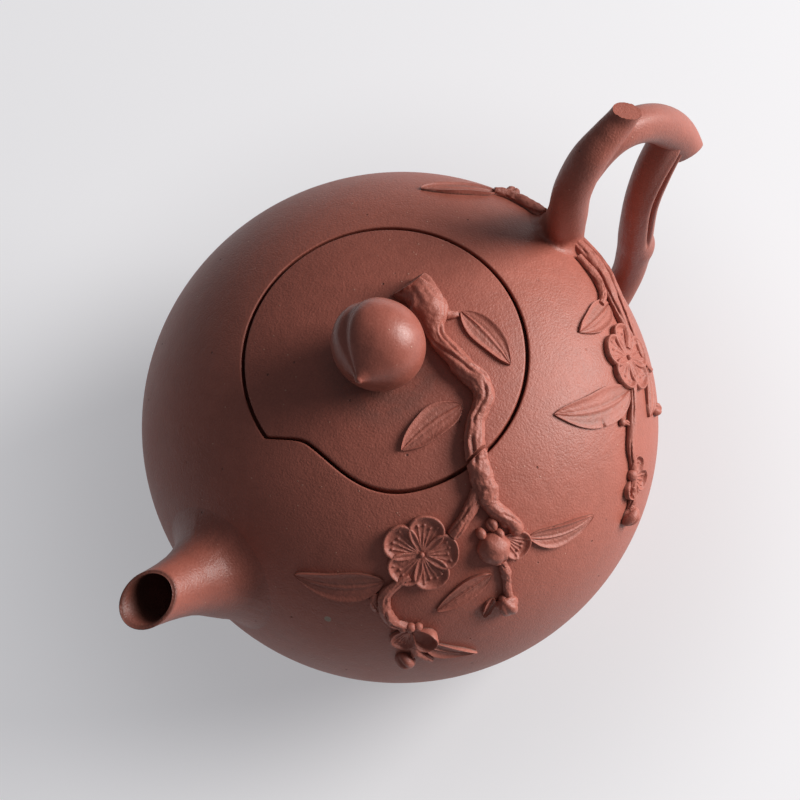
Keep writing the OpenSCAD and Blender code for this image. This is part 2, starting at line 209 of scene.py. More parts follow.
low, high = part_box("body_wall")
belly_r = (high[0] - low[0]) / 2
dome_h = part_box("lid_plate")[1][2] - belly_h
bowl_h = 52 * mm
dome_power = 2.2
wall = 3.2 * mm
lid_r = 28.3 * mm
seam_gap = 0.7 * mm
notch_depth = 4.9 * mm
notch_az, notch_sweep, notch_peak = 169, 70, 17
lid_edge_h = 3 * mm
floor_top = 4 * mm
merge_gap = 0.002 * mm


def dome_z(r, inset=0.0):
    """Height above the belly of the dome at radius r, or of one set in from it by a wall."""
    return (dome_h - inset) * (1 - (r / (belly_r - inset)) ** dome_power) ** (1 / dome_power)


seat_z = dome_z(lid_r) - lid_edge_h


def skin_rz(lat, grow=0.0):
    """Radius of the outer skin and its height above the belly, at a latitude in degrees."""
    c, s = math.cos(math.radians(lat)), math.sin(math.radians(lat))
    if lat < 0:
        return (belly_r + grow) * c, (bowl_h + grow) * s
    return (belly_r + grow) * max(c, 0) ** (2 / dome_power), (dome_h + grow) * s ** (2 / dome_power)


def skin_lat(r, grow=0.0):
    """Latitude at which the dome has radius r."""
    return math.degrees(math.acos(min(1, (r / (belly_r + grow)) ** (dome_power / 2))))


def on_skin(point, lift=0.0):
    """The skin's point towards which a point lies, seen from the pot's middle, lifted off it."""
    x, y, z = point[0], point[1], point[2] - belly_h
    power, depth = (dome_power, dome_h) if z > 0 else (2, bowl_h)
    r = math.hypot(x, y)
    out = ((r / belly_r) ** power + (abs(z) / depth) ** power) ** (-1 / power)
    x, y, z, r = x * out, y * out, z * out, r * out
    steep = math.copysign((abs(z) / depth) ** (power - 1) / depth, z)
    flat = (r / belly_r) ** (power - 1) / belly_r
    normal = Vector((flat * x / r if r else 0, flat * y / r if r else 0, steep)).normalized()
    return Vector((x, y, z + belly_h)) + normal * lift, normal


def skin_at(az, lat, lift=0.0):
    r, z = skin_rz(lat)
    a = math.radians(az)
    return on_skin((r * math.cos(a), r * math.sin(a), belly_h + z), lift)


def seam_radius(az, grow):
    """Radius of the lid's outline at a direction, grown outwards: a circle with a bite."""
    a = (az - notch_az) % 360
    bite = 0.0
    if a < notch_peak:
        bite = math.sin(math.radians(90 * a / notch_peak))
    elif a < notch_sweep:
        bite = math.cos(math.radians(90 * (a - notch_peak) / (notch_sweep - notch_peak))) ** 2.6
    return lid_r + grow - notch_depth * bite


def wrapped(name, around, along, place, smooth=50):
    """A grid rolled up and drawn into shape: place(u, v) gives the point for shares 0 to 1."""
    bpy.ops.mesh.primitive_grid_add(x_subdivisions=around, y_subdivisions=along, size=1)
    piece = bpy.context.object
    piece.name = piece.data.name = name
    for vertex in piece.data.vertices:
        vertex.co = place(vertex.co.x + 0.5, vertex.co.y + 0.5)
    bpy.ops.object.mode_set(mode="EDIT")
    bpy.ops.mesh.select_all(action="SELECT")
    bpy.ops.mesh.remove_doubles(threshold=merge_gap)
    bpy.ops.mesh.normals_make_consistent(inside=False)
    if bmesh.from_edit_mesh(piece.data).calc_volume(signed=True) < 0:
        bpy.ops.mesh.flip_normals()
    bpy.ops.object.mode_set(mode="OBJECT")
    bpy.ops.object.shade_smooth_by_angle(angle=math.radians(smooth))
    bpy.ops.object.select_all(action="DESELECT")
    return piece


sand_colour = (0.47, 0.16, 0.115, 1)
pit_colour = (0.05, 0.022, 0.018, 1)
speck_colour = (0.62, 0.36, 0.27, 1)
shadow_x, shadow_y, shadow_core, shadow_end = -2.6 * mm, -3.2 * mm, 8 * mm, 14.5 * mm


def clay(name, shade, light, roughness, grain=1.0, near_skin_darkening=0.0, knob_shadow=0.0, bark=0.0,
         tea_stain_and_bore_shade=None, blemish=None):
    """Unglazed zisha: mottled, sandy, with pale sand specks and small dark pits. near_skin_darkening
    paints darker what lies within half a millimetre of the skin, in the crevices where ornaments meet
    it; knob_shadow paints the knob's shadow on the lid round it; and tea_stain_and_bore_shade (the
    spout's tip, its way in, the way its mouth faces and its bore) paints a tea stain on the spout's lip
    and shade deep inside its bore."""
    material, shader, where = new_material(name)
    link = material.node_tree.links.new
    broad = where.cloud(21 * mm, 3)
    mottle = where.cloud(2.6 * mm, 4, 0.65)
    sand = where.cloud(0.42 * mm, 2)
    tone = (broad * 0.55 + mottle * 0.45).ramp(0.34, 0.66)
    colour = tone.mix(shade + (1,), light + (1,))
    colour = (sand.ramp(0.35, 0.75) * 0.22).mix(colour, sand_colour)
    pits = where.speckle(1.7 * mm, 0.035)
    specks = where.speckle(1.1 * mm, 0.07)
    colour = (pits * 0.6).mix(colour, pit_colour)
    colour = (specks * 0.45).mix(colour, speck_colour)
    part = where.node("ShaderNodeSeparateXYZ", {}, {"Vector": where}, output="X")
    x, y, z = (Wire(part.tree, part.socket.node.outputs[k]) for k in range(3))
    # Patches of the mottle, which break up the painted darkening, the tea stain and the painted shadow
    # below
    patchiness = mottle.ramp(0.3, 0.62)
    if near_skin_darkening:
        r = (x * x + y * y) ** 0.5
        rise = (z - belly_h).maths("ABSOLUTE", z - belly_h)
        swell = ((r / belly_r) ** dome_power + (rise / dome_h) ** dome_power) ** (1 / dome_power)
        lift = (swell - 1) * (50 * mm)
        # Painted darkening of the crevices: ornament surface within half a millimetre of the skin, in
        # patches
        near_skin_mask = lift.ramp(0.5 * mm, 0.0) * (0.3 + patchiness * 0.7)
        colour = (near_skin_mask * near_skin_darkening).mix(colour, (0.085, 0.062, 0.05, 1))
    if blemish:
        ends = {0: where, 1: blemish}
        away = where.node("ShaderNodeVectorMath", {"operation": "DISTANCE"}, ends, output="Value")
        colour = (away.ramp(0.8 * mm, 0.6 * mm) * 0.75).mix(colour, (0.3, 0.27, 0.21, 1))
    if tea_stain_and_bore_shade:
        # Distance below the plane of the mouth, then along the spout's axis and across it
        tip, inward, mouth, bore = tea_stain_and_bore_shade
        below = (x - tip.x) * -mouth.x - (z - tip.z) * mouth.z
        rim = below.ramp(0.9 * mm, 0.1 * mm)
        run = (x - tip.x) * inward.x + (z - tip.z) * inward.z
        rise = (x - tip.x) * -inward.z + (z - tip.z) * inward.x
        off_axis = (y * y + rise * rise) ** 0.5
        inside = off_axis.ramp(bore + 0.6 * mm, bore + 0.15 * mm) * run.ramp(-8 * mm, 5 * mm)
        # A tea stain round the lip, in patches
        colour = (rim * (0.5 + patchiness * 0.3)).mix(colour, (0.12, 0.04, 0.028, 1))
        # Painted shade: the bore made near-black within, where shade falls inside the spout
        colour = (inside * 0.9).mix(colour, (0.06, 0.025, 0.018, 1))
    if knob_shadow:
        off_x, off_y = x - shadow_x, y - shadow_y
        away = (off_x * off_x + off_y * off_y) ** 0.5
        near = away.ramp(shadow_end, shadow_core) * (0.35 + patchiness * 0.65)
        colour = (near * knob_shadow).mix(colour, (0.07, 0.042, 0.035, 1))
    link(colour.socket, shader.inputs["Base Color"])
    gloss = roughness + (sand - 0.5) * 0.24 + (broad - 0.5) * 0.2 + pits * 0.3
    link(gloss.socket, shader.inputs["Roughness"])
    height = mottle * 0.12 + where.cloud(0.55 * mm, 2) * 0.07 * grain + sand * 0.1 * grain
    height = height - pits * 0.14 + specks * 0.06
    if bark:
        height = height + where.cloud(0.8 * mm, 4, 0.7) * bark
    bump = height.node(
        "ShaderNodeBump", {}, {"Height": height, "Strength": 0.9, "Distance": 1 * mm}, output="Normal"
    )
    link(bump.socket, shader.inputs["Normal"])
    shader.inputs["Specular IOR Level"].default_value = 0.46
    return material


body_clay = clay("body_clay", (0.312, 0.09, 0.062), (0.368, 0.108, 0.076), 0.5,
                 blemish=tuple(skin_at(209.8, 26)[0]))

turns, belly_rows, dome_rows, inner_rows = 360, 26, 50, 34
foot_lat = -math.degrees(math.asin(belly_h / bowl_h))


def shell_outline(az):
    """Radius and height of the shell's section, from under the foot over the skin to the inside."""
    opening = seam_radius(az, seam_gap / 2)
    foot_r = skin_rz(foot_lat)[0]
    line = [(0, 0.7 * mm), (0.5 * foot_r, 0.7 * mm)]
    for back, up in ((3.2, 0.7), (2.7, 0.25), (2.2, 0.02), (1.2, 0), (0.45, 0.12), (0.05, 0.5)):
        line.append((foot_r - back * mm, up * mm))
    for k in range(belly_rows):
        lat = (foot_lat + 1.3) * (1 - k / belly_rows)
        r, z = skin_rz(lat)
        line.append((r, z + belly_h))
    last = skin_lat(opening + 0.45 * mm)
    for k in range(dome_rows + 1):
        r, z = skin_rz(last * k / dome_rows)
        line.append((r, z + belly_h))
    top = line[-1][1]
    for out, down in ((0.26, -0.06), (0.1, 0.0), (0.02, 0.12), (0, 0.32), (0, 1.2)):
        line.append((opening + out * mm, top - down * mm))
    bottom = belly_h + seat_z
    line.append((opening, bottom + 0.3 * mm))
    line.append((opening, bottom))
    r_seat = (belly_r - wall) * (1 - (seat_z / (dome_h - wall)) ** dome_power) ** (1 / dome_power)
    line.append((max(r_seat, opening + 1 * mm), bottom))
    start = skin_lat(r_seat, -wall)
    floor_lat = math.degrees(math.asin((floor_top - belly_h) / (bowl_h - wall)))
    for k in range(1, inner_rows + 1):
        r, z = skin_rz(start + (floor_lat - start) * k / inner_rows, -wall)
        line.append((r, z + belly_h))
    line.append((line[-1][0] - 1.5 * mm, floor_top))
    line.append((0, floor_top))
    return line


outlines = [shell_outline(360 * k / turns) for k in range(turns)]
rows = len(outlines[0]) - 1


def shell_point(u, v):
    k = round(u * turns) % turns
    r, z = outlines[k][round(v * rows)]
    a = 2 * math.pi * k / turns
    return r * math.cos(a), r * math.sin(a), z


shell = wrapped("pot_shell", turns, rows, shell_point, 40)
shell.data.materials.append(body_clay)
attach(shell, "pot")
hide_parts("base_disc", "body_wall", "shoulder_ring")

inner_clay = clay("inner_clay", (0.28, 0.079, 0.055), (0.32, 0.092, 0.064), 0.6)
for hidden in ("mouth_ledge", "lid_flange"):
    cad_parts[hidden].data.materials.clear()
    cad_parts[hidden].data.materials.append(inner_clay)

# ---------------------------------------------------------------------------------------------
# The spout: a short tapered tube rolled round a dowel, luted over the strainer and blended into
# the wall with a wet brush, so that it flows into the skin. Its mouth is cut nearly level.

spout_tip = Vector((-belly_r - 11.7 * mm, 0, belly_h + 34 * mm))
spout_in = Vector((math.cos(math.radians(47)), 0, -math.sin(math.radians(47))))
spout_side = Vector((0, 1, 0))
spout_up = spout_side.cross(spout_in)
mouth_way = Vector((-math.cos(math.radians(78)), 0, math.sin(math.radians(78))))
lip_r = 5.25 * mm
bore_r = 4.35 * mm
spout_flare = [(-6, 0), (0, 0.05), (4, 0.25), (8, 0.65), (12, 1.3), (15.5, 2.3), (19, 3.7), (23, 5.3),
               (34, 7.4)]
fillet_up, fillet_out = 5 * mm, 4.5 * mm


def run_of(marks, share):
    """A smooth run through listed marks, at a share of its length."""
    last = len(marks) - 1
    k = min(int(share * last), last - 1)
    t = share * last - k
    rows = (marks[max(k - 1, 0)], marks[k], marks[k + 1], marks[min(k + 2, last)])
    return [
        (2 * b + (c - a) * t + (2 * a - 5 * b + 4 * c - d) * t * t + (3 * b - a - 3 * c + d) * t ** 3) / 2
        for a, b, c, d in zip(*rows)
    ]


def flare(s):
    for (s0, w0), (s1, w1) in zip(spout_flare, spout_flare[1:]):
        if s / mm <= s1:
            t = (s / mm - s0) / (s1 - s0)
            return (w0 + (w1 - w0) * t) * mm
    return spout_flare[-1][1] * mm


def spout_wall(s, way):
    return spout_tip + spout_in * s + way * (lip_r + flare(s))


def rooted(line, axis, reach_up, reach_out, foot_rows=28):
    """A line of clay run into the skin: cut short above it and carried on in a hollow curve to it."""
    crossing = next(k for k, p in enumerate(line) if (p - on_skin(p)[0]).dot(on_skin(p)[1]) < 0.02 * mm)
    corner = on_skin(line[crossing])[0]
    first = crossing
    while first > 1 and (line[first] - corner).length < reach_up:
        first -= 1
    start = line[first]
    normal = on_skin(corner)[1]
    outward = corner - axis(crossing, corner)
    outward = (outward - normal * outward.dot(normal)).normalized()
    end, lean = on_skin(corner + outward * reach_out, -0.03 * mm)
    leave = (line[first] - line[first - 1]).normalized() * reach_up * 0.62
    arrive = (outward - lean * outward.dot(lean)).normalized() * (end - corner).length * 0.6
    foot = []
    for k in range(foot_rows + 1):
        t = k / foot_rows
        foot.append(start * (1 - t) ** 3 + (start + leave) * 3 * t * (1 - t) ** 2
                    + (end - arrive) * 3 * t * t * (1 - t) + end * t ** 3)
    return first, foot + [on_skin(end, -1.4 * mm)[0]]


def resampled(line, count):
    """The same line with count points, evenly shared out."""
    last = len(line) - 1
    out = []
    for k in range(count):
        f = k / (count - 1) * last
        i = min(int(f), last - 1)
        out.append(line[i].lerp(line[i + 1], f - i))
    return out


def spout_axis(_, point):
    return spout_tip + spout_in * (point - spout_tip).dot(spout_in)


def spout_generator(angle):
    """Points of the spout's section at an angle: from the bore's end out of the lip to the skin."""
    way = spout_side * math.sin(angle) + spout_up * math.cos(angle)
    cut = -8 * mm
    while (spout_wall(cut, way) - spout_tip).dot(mouth_way) > 0:
        cut += 0.05 * mm
    bore_end = 30 * mm
    line = []
    for k in range(13):
        s = bore_end + (cut + 1.5 * mm - bore_end) * k / 12
        line.append(spout_tip + spout_in * s + way * (bore_r + max(s, 0) * 0.05))
    rim_out = spout_wall(cut, way)
    rim_in = rim_out - way * (lip_r - bore_r)
    rim_in = rim_in - mouth_way * (rim_in - spout_tip).dot(mouth_way)
    line += [rim_in + spout_in * 0.7 * mm + way * 0.02 * mm, rim_in + spout_in * 0.22 * mm + way * 0.1 * mm,
             rim_in + way * 0.28 * mm, rim_out - way * 0.22 * mm,
             rim_out - way * 0.06 * mm + spout_in * 0.05 * mm, rim_out + spout_in * 0.22 * mm]
    outside = [spout_wall(cut + 0.22 * mm + 0.3 * mm * k, way) for k in range(140)]
    first, foot = rooted(outside, spout_axis, fillet_up, fillet_out)
    line += resampled(outside[:first], 20) + foot
    line.append(spout_tip + spout_in * (bore_end - 0.5 * mm) + way * (bore_r + 3 * mm))
    return line


spout_turns = 128
generators = [spout_generator(2 * math.pi * k / spout_turns) for k in range(spout_turns)]
spout_rows = len(generators[0])


def spout_point(u, v):
    return generators[round(u * spout_turns) % spout_turns][round(v * spout_rows) % spout_rows]


spout = wrapped("spout_tube", spout_turns, spout_rows, spout_point, 60)
# A darker copy of the body's clay: painted shade on the spout
spout_clay_painted_shade = clay("spout_clay_painted_shade", (0.275, 0.08, 0.056), (0.33, 0.098, 0.069), 0.46,
                  tea_stain_and_bore_shade=(spout_tip, spout_in, mouth_way, bore_r))
spout.data.materials.append(spout_clay_painted_shade)
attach(spout, "pot")
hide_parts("spout")

# ---------------------------------------------------------------------------------------------
# The handle: three rolled coils shaped as plum branches. The upper one springs from the wall and
# ends in a cut stub; the outer one forks from it; the lower one is pressed up against the outer.

handle_az = -7
out_from_pot = Vector((math.cos(math.radians(handle_az)), math.sin(math.radians(handle_az)), 0))
across_handle = Vector((-math.sin(math.radians(handle_az)), math.cos(math.radians(handle_az)), 0))
# A darker copy of the body's clay: painted shade on the handle's branches
branch_clay = clay("branch_clay", (0.27, 0.078, 0.054), (0.33, 0.096, 0.067), 0.48)


def in_handle_plane(out, up):
    a = math.radians(handle_az)
    r = belly_r + out * mm
    return Vector((r * math.cos(a), r * math.sin(a), belly_h + up * mm))


# Trimmed rows stop a little past the cut, each by its own share, so that no two lie together
trim_spread = 1.015


def limb(name, marks, around, along, outline, trims=(), root=None, flat=1.0, smooth=45, fence=None):
    """A branch along marks of centre, up and radius. outline(angle, share) swells or grooves it,
    trims cut its ends, root runs its last end into the pot's skin, and fence keeps its points on
    one side of the seam."""
    path = [run_of(marks, k / along) for k in range(along + 1)]
    spots = [Vector(p[:3]) for p in path]
    ways = [(spots[min(k + 1, along)] - spots[max(k - 1, 0)]).normalized() for k in range(along + 1)]

    def ring_point(k, angle, inward=1.0):
        side = ways[k].cross(Vector(path[k][3:6])).normalized()
        up = side.cross(ways[k])
        radius = path[k][6] * outline(angle, k / along) * inward
        point = spots[k] + (side * math.cos(angle) + up * math.sin(angle) * flat) * radius
        back = ways[k] * (-1 if k > along / 2 else 1)
        for beyond in trims:
            if beyond(point) > 0:
                near, far = 0.0, 16 * mm
                for _ in range(22):
                    half = (near + far) / 2
                    near, far = (half, far) if beyond(point + back * half) > 0 else (near, half)
                point = point + back * far * trim_spread
        return fence(point) if fence else point

    inward = (0, 0.3, 0.6, 0.85, 0.96)
    lines = []
    for j in range(around):
        angle = 2 * math.pi * j / around
        line = [ring_point(0, angle, f) for f in inward]
        body = [ring_point(k, angle) for k in range(along + 1)]
        if root:
            first, foot = rooted(body, lambda k, _: spots[k], *root)
            lines.append(line + resampled(body[:first], along) + foot + [on_skin(spots[-1], -1.6 * mm)[0]])
        else:
            lines.append(line + body + [ring_point(along, angle, f) for f in reversed(inward)])
    rows = len(lines[0]) - 1

    def place(u, v):
        return lines[round(u * around) % around][round(v * rows)]

    return wrapped(name, around, rows, place, smooth)


def plane_trim(centre, normal):
    return lambda point: (point - centre).dot(normal)


def handle_marks(rows):
    marks = []
    for out, up, r, *aside in rows:
        spot = in_handle_plane(out, up) + across_handle * (aside[0] if aside else 0) * mm
        marks.append(tuple(spot) + tuple(across_handle) + (r * mm,))
    return marks


def knotty(seed, depth):
    """Slow swellings down a branch."""
    def outline(angle, share):
        c, s = math.cos(angle), math.sin(angle)
        slow = noise.noise(Vector((c * 0.9 + seed, s * 0.9, share * 3)))
        return 1 + depth * slow
    return outline


def fissured(angle, share):
    """The lower branch's long split, on its outer side, and the knee under it."""
    along = (share - 0.02) / 0.45
    deep = 0.0
    if 0 < along < 1:
        ends = min(1, 5 * along, 3 * (1 - along))
        middle = -1.28 - 0.3 * min(1, 1.6 * along) + 0.04 * math.sin(along * 9)
        off = math.atan2(math.sin(angle - middle), math.cos(angle - middle))
        deep = ends * (0.92 * math.exp(-(off / 0.12) ** 2) - 0.1 * math.exp(-((off - 0.36) / 0.25) ** 2)
                       - 0.08 * math.exp(-((off + 0.34) / 0.22) ** 2))
    knee = 0.17 * math.exp(-((share - 0.52) / 0.03) ** 2) * max(0, math.cos(angle + 0.5))
    return knotty(3.3, 0.08)(angle, share) - deep + knee


stub_cut = out_from_pot * 0.47 + across_handle * 0.18 + Vector((0, 0, 0.86))
outer_cut = out_from_pot * -0.03 + across_handle * -0.86 + Vector((0, 0, -0.5))
upper = limb("upper", handle_marks([
    (11.6, 70.4, 2.7), (8.6, 66.6, 2.75), (6, 63.8, 2.95), (2.4, 61.6, 3.3), (-2.6, 58, 3.7),
    (-6.2, 50, 3.9, 0.2), (-6.6, 38, 4.2, 1.4), (-5.8, 29, 4.5, 3.4), (-5.4, 21, 4.8, 5.2),
    (-8, 13, 5, 6.6), (-13, 7, 5.2, 7.6)]), 64, 170, knotty(0.7, 0.08), root=(6 * mm, 3.5 * mm))
outer = limb("outer", handle_marks([
    (-4, 52, 3.0), (0.5, 57.4, 3.3), (5, 59.4, 3.6), (10, 57, 3.7), (15.4, 50.6, 4.0), (20.2, 41, 4.15),
    (23.2, 30.4, 4.1), (24.6, 21, 4.0), (25.6, 13, 4.0)]), 56, 130, knotty(5.1, 0.08))
lower = limb("handle_lower_coil", handle_marks([
    (20.2, 42.4, 3.3), (18.2, 38.6, 3.7), (15, 31, 3.85), (12.2, 20, 3.75), (11, 6, 3.9),
    (10.5, -4, 3.8), (8.5, -14, 3.6), (3, -23, 3.9), (-5, -27.5, 4.6), (-18, -29, 5)]),
    200, 230, fissured, root=(7 * mm, 5 * mm))
bpy.ops.object.select_all(action="DESELECT")
outer.select_set(True)
upper.select_set(True)
bpy.context.view_layer.objects.active = upper
bpy.ops.object.join()


def finish_with(piece, kind, **settings):
    modifier = piece.modifiers.new(kind, kind)
    for name, value in settings.items():
        setattr(modifier, name, value)
    bpy.context.view_layer.objects.active = piece
    bpy.ops.object.modifier_apply(modifier=modifier.name)


def sliced(piece, centre, normal, reach):
    """Cut a piece off flat beyond a plane, within reach of a point."""
    bpy.context.view_layer.objects.active = piece
    bpy.ops.object.mode_set(mode="EDIT")
    bpy.ops.mesh.select_all(action="DESELECT")
    bpy.ops.object.mode_set(mode="OBJECT")
    for vertex in piece.data.vertices:
        vertex.select = (vertex.co - centre).length < reach
    bpy.ops.object.mode_set(mode="EDIT")
    bpy.ops.mesh.bisect(plane_co=centre, plane_no=normal.normalized(), use_fill=True, clear_outer=True)
    bpy.ops.mesh.select_all(action="SELECT")
    bpy.ops.mesh.remove_doubles(threshold=0.04 * mm)
    bpy.ops.object.mode_set(mode="OBJECT")
    bpy.ops.object.select_all(action="DESELECT")


finish_with(upper, "REMESH", mode="VOXEL", voxel_size=0.32 * mm, use_smooth_shade=True)
finish_with(upper, "SMOOTH", factor=0.5, iterations=6)
sliced(upper, in_handle_plane(8, 65.4), stub_cut, 9 * mm)
sliced(upper, in_handle_plane(24.9, 28.8) + outer_cut * 0.9 * mm, outer_cut, 19 * mm)
# What the cuts leave loose is thrown away
upper.select_set(True)
bpy.context.view_layer.objects.active = upper
bpy.ops.mesh.separate(type="LOOSE")
upper, *scraps = sorted(bpy.context.selected_objects, key=lambda o: -len(o.data.vertices))
for scrap in scraps:
    bpy.data.objects.remove(scrap)
upper.name = upper.data.name = "handle_upper_coil"
upper.select_set(True)
bpy.context.view_layer.objects.active = upper
bpy.ops.object.shade_smooth_by_angle(angle=math.radians(40))
bpy.ops.object.select_all(action="DESELECT")
for coil, nodes in (
    (upper, ("handle_upper_branch", "handle_outer_branch")),
    (lower, ("handle_lower_branch",)),
):
    coil.data.materials.append(branch_clay)
    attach(coil, "pot")
    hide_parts(*nodes)

# ---------------------------------------------------------------------------------------------
# The lid: a slab beaten on the same mould as the shoulder, with the notch cut by template and
# its edge sponged. A vent hole goes through it beside the knob. Its flange keeps it in the mouth.

# A darker copy of the body's clay: painted shade on the lid, with the knob's painted shadow round the knob
lid_clay_painted_shade = clay("lid_clay_painted_shade", (0.29, 0.082, 0.057), (0.345, 0.099, 0.069), 0.5, knob_shadow=0.5)
lid_top = belly_h + dome_h
vent_x, vent_y, vent_r = 3.85 * mm, 6.9 * mm, 1.2 * mm
flange_r = (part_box("lid_flange")[1][0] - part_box("lid_flange")[0][0]) / 2 - 2.6 * mm
lid_turns, lid_rows = 300, 40


def lid_outline(az):
    edge = seam_radius(az, -seam_gap / 2)
    line = []
    for k in range(lid_rows + 1):
        r = (edge - 0.4 * mm) * k / lid_rows
        line.append((r, belly_h + dome_z(r)))
    top = line[-1][1]
    for back, down in ((0.22, 0.07), (0.08, 0.16), (0.01, 0.32), (0, 0.55), (0, 1.4)):
        line.append((edge - back * mm, top - down * mm))
    line += [(edge, belly_h + seat_z + 0.2 * mm), (edge - 0.2 * mm, belly_h + seat_z),
             (flange_r + 0.6 * mm, belly_h + seat_z), (flange_r, belly_h + seat_z)]
    for k in range(13):
        r = flange_r * (1 - k / 12)
        line.append((r, belly_h + dome_z(r, wall)))
    return line


lid_lines = [lid_outline(360 * k / lid_turns) for k in range(lid_turns)]


def lid_point(u, v):
    k = round(u * lid_turns) % lid_turns
    r, z = lid_lines[k][round(v * (len(lid_lines[0]) - 1))]
    a = 2 * math.pi * k / lid_turns
    return r * math.cos(a), r * math.sin(a), z


lid = wrapped("lid_slab", lid_turns, len(lid_lines[0]) - 1, lid_point, 40)
bpy.ops.mesh.primitive_cylinder_add(vertices=32, radius=vent_r, depth=20 * mm,
                                    location=(vent_x, vent_y, lid_top))
drill = bpy.context.object
finish_with(lid, "BOOLEAN", operation="DIFFERENCE", object=drill, solver="EXACT")
bpy.data.objects.remove(drill)
lid.data.materials.append(lid_clay_painted_shade)
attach(lid, "lid")
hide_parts("lid_plate")

# ---------------------------------------------------------------------------------------------
# The knob: a peach modelled by hand, lying on its side, with its pointed tip towards the spout
# and the cleft down its back. Burnished, so it is glossier than the lid that it is luted on.

knob_r = 9.2 * mm
knob_tilt, knob_way = 22, 203
knob_centre = Vector((-1.6 * mm, -1.5 * mm, belly_h + dome_h + knob_r - 1.7 * mm))
knob_clay = clay("polished_clay", (0.275, 0.077, 0.054), (0.335, 0.097, 0.069), 0.38, grain=0.3)
peach_line = [(-0.93, 0), (-0.9, 0.3), (-0.72, 0.67), (-0.36, 0.93), (0.02, 1.01), (0.38, 0.93),
              (0.66, 0.725), (0.86, 0.45), (0.99, 0.225), (1.08, 0.11), (1.15, 0.06), (1.175, 0)]
knob_turn = about("Z", knob_way) @ about("Y", 90 - knob_tilt)
cleft_at = math.radians(224)


def peach_point(u, v):
    x, r = run_of(peach_line, v)
    angle = 2 * math.pi * u
    off = math.atan2(math.sin(angle - cleft_at), math.cos(angle - cleft_at))
    deep = math.sin(math.pi * v) ** 0.5 if 0 < v < 1 else 0
    depth = 0.085 * math.exp(-(off / 0.11) ** 2) * deep
    cheek = 0.03 * math.exp(-((abs(off) - 0.36) / 0.25) ** 2) * deep
    r = max(r, 0) * (1 - depth + cheek)
    point = knob_turn @ Vector((r * math.cos(angle), r * math.sin(angle), x)) * knob_r
    return knob_centre + point


knob = wrapped("peach", 96, 80, peach_point, 180)
knob.data.materials.append(knob_clay)
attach(knob, "lid")
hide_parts("peach_knob")

# ---------------------------------------------------------------------------------------------
# The plum bough: one rolled and scored coil that starts on the lid in a thick slanting cut, bends
# at its knots, crosses the seam, where it is cut through with the lid, and forks on the shoulder.

# The ornaments' clay, with painted darkening in the crevices where they meet the skin
applique_clay = clay("applique_clay", (0.32, 0.096, 0.068), (0.39, 0.121, 0.087), 0.52,
                     near_skin_darkening=0.85, bark=0.08)


def over_lid(x, y, radius, sunk=0.35):
    """A mark of a branch that lies on the dome over a plan position in millimetres."""
    x, y = x * mm, y * mm
    z = belly_h + dome_z(math.hypot(x, y))
    spot, normal = on_skin((x, y, z), radius * mm * (1 - sunk))
    return tuple(spot) + tuple(normal) + (radius * mm,)


def over_skin(az, lat, radius, sunk=0.4):
    spot, normal = skin_at(az, lat, radius * mm * (1 - sunk))
    return tuple(spot) + tuple(normal) + (radius * mm,)


def barked(seed, furrows, depth, twist=1.0, length=1.0):
    """Scored bark: long furrows that start and stop down a branch, over slow knots."""
    def outline(angle, share):
        ring = Vector((math.cos(angle), math.sin(angle), 0))
        swell = 1 + 0.16 * noise.noise(ring * 0.9 + Vector((seed, 0, share * 5 * length)))
        swell += 0.09 * noise.noise(ring * 3 + Vector((0, seed, share * 11 * length)))
        swell += 0.035 * noise.noise(ring * 5 + Vector((seed, 0, share * 30 * length)))
        for k in range(furrows):
            middle = 2 * math.pi * k / furrows + seed + twist * share
            middle += 0.45 * math.sin(share * length * 4 + k * 2.1)
            off = math.atan2(math.sin(angle - middle), math.cos(angle - middle))
            opened = noise.noise(Vector((share * 4 * length, k * 3.7, seed))) * 3 + 0.75
            groove = math.exp(-(off / 0.15) ** 2) - 0.35 * math.exp(-((abs(off) - 0.34) / 0.17) ** 2)
            swell -= depth * max(0.0, min(1.0, opened)) * groove
        return swell
    return outline


def seam_fence(grow, inward):
    """Keep points inside the seam's outline, or outside it. Those that are moved keep a fiftieth of
    their distance from it, so that no two come to lie together."""
    def fence(point):
        az = math.degrees(math.atan2(point.y, point.x))
        r = math.hypot(point.x, point.y)
        edge = seam_radius(az, grow)
        if (edge < r) == inward:
            share = (edge - (r - edge) / 50) / r
            return Vector((point.x * share, point.y * share, point.z))
        return point
    return fence


def dress(piece, material, body, slot, *nodes):
    piece.data.materials.append(material)
    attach(piece, body)
    if nodes:
        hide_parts(*nodes)


lid_marks = [over_lid(*m) for m in [
    (12.2, 10, 3.3), (12.4, 6.2, 3.45), (12.6, 2.2, 3.4), (11.8, -1.6, 3.3), (9.8, -4.6, 2.1),
    (8.6, -7.4, 1.85), (8.4, -11.2, 2.05), (8, -14.8, 2.15), (8, -18, 2.2), (6.9, -20.6, 2.1),
    (4.4, -22, 1.85), (1.8, -23.2, 1.8), (-0.7, -25.4, 1.95), (-3.1, -28.2, 2.15)]]
end_cut = plane_trim(Vector((12.2 * mm, 6.3 * mm, lid_top)), Vector((0.14, 0.9, 0.42)).normalized())
lid_bough = limb("lid_bough", lid_marks, 72, 270, barked(1.7, 5, 0.17, 1.2, 2.4),
                 [end_cut], flat=0.95, fence=seam_fence(-seam_gap / 2, True))
dress(lid_bough, applique_clay, "lid", "ornament_clay", "lid_branch")
bough = limb("bough_on_shoulder", [over_lid(*m) for m in [
    (-1.4, -26.5, 2.0), (-3.1, -28.3, 2.15), (-4.6, -30.6, 2.2), (-5.7, -32.8, 2.2), (-6.7, -34.8, 1.8)]],
    72, 90, barked(2.3, 5, 0.16, 0.6), flat=0.95, fence=seam_fence(seam_gap / 2, False))
dress(bough, applique_clay, "pot", "ornament_clay", "bough")
